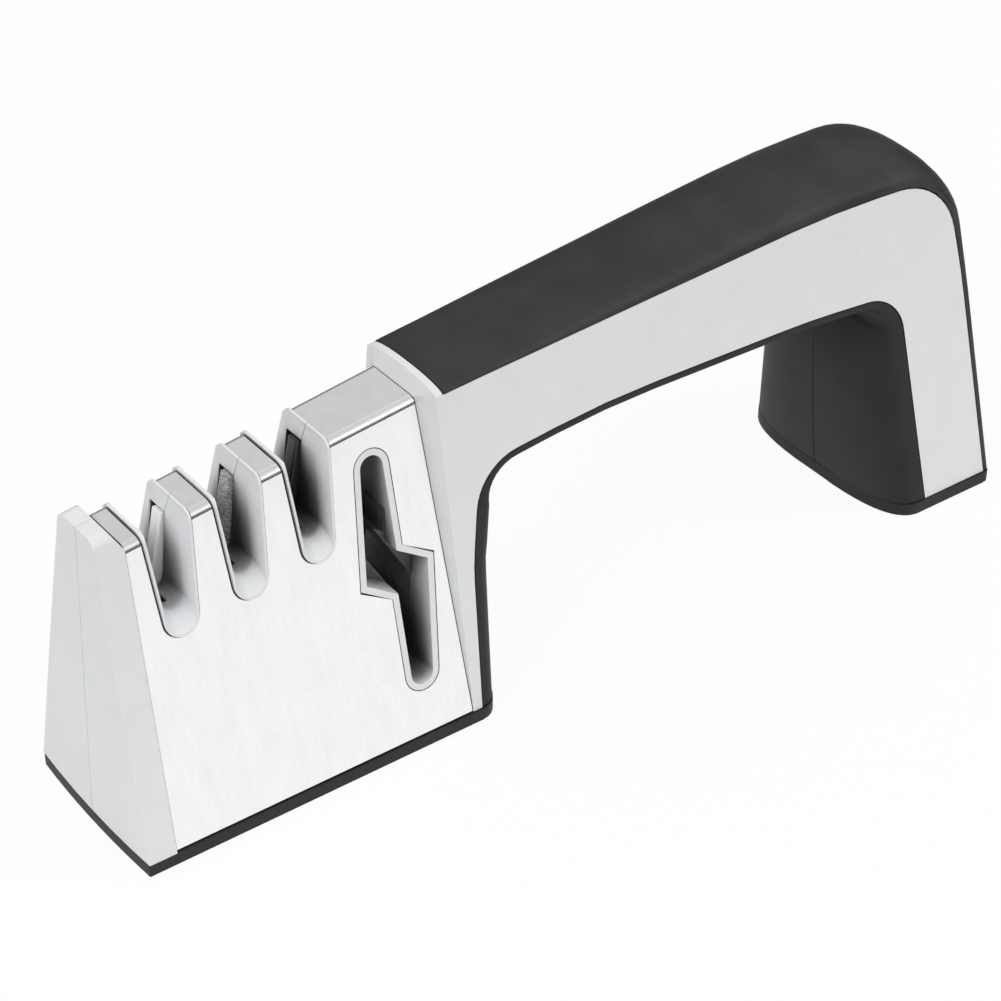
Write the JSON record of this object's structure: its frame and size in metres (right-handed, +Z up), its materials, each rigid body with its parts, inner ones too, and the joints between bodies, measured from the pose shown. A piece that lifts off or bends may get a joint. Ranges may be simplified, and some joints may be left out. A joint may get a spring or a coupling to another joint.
{
  "type": "pull-through knife and scissors sharpener",
  "caption": "Free-standing pull-through sharpener with a steel-clad head of leaning knife slots, a stepped scissors slot and an arched soft-grip handle on a rear leg.",
  "frame": {"origin": "on the surface it stands on, under the middle of its length and width", "axes": "+X from the sharpening head to the rear leg, +Y across, +Z up"},
  "size_m": [0.218, 0.0524, 0.0848],
  "materials": {
    "casing": "satin moulded light grey ABS",
    "soft_lining": "matt soft-touch rubber",
    "soft_grip": "matt soft-touch rubber",
    "cover": "finely brushed stainless sheet",
    "plate": "zinc-plated steel plate",
    "pad": "matt non-slip rubber",
    "insert": "moulded grey plastic",
    "carbide": "ground tungsten carbide",
    "diamond": "steel coated with diamond grit",
    "ceramic": "dark fine ceramic",
    "screw": "zinc-plated self-tapping screw"
  },
  "bodies": {
    "root": {"front_shell": "casing", "rear_shell": "casing", "front_liner": "soft_lining", "rear_liner": "soft_lining", "top_grip": "soft_grip", "steel_cover": "cover", "base_plate": "plate", "base_pad": "pad", "foot_pad": "pad", "coarse_holder": "insert", "coarse_carbide_left": "carbide", "coarse_carbide_right": "carbide", "medium_holder": "insert", "medium_diamond_left": "diamond", "medium_diamond_right": "diamond", "fine_holder": "insert", "fine_ceramic_left": "ceramic", "fine_ceramic_right": "ceramic", "scissors_guide_left": "insert", "scissors_guide_right": "insert", "scissors_stone": "ceramic", "head_screws": "screw", "base_screws": "screw"}
  },
  "joints": []
}
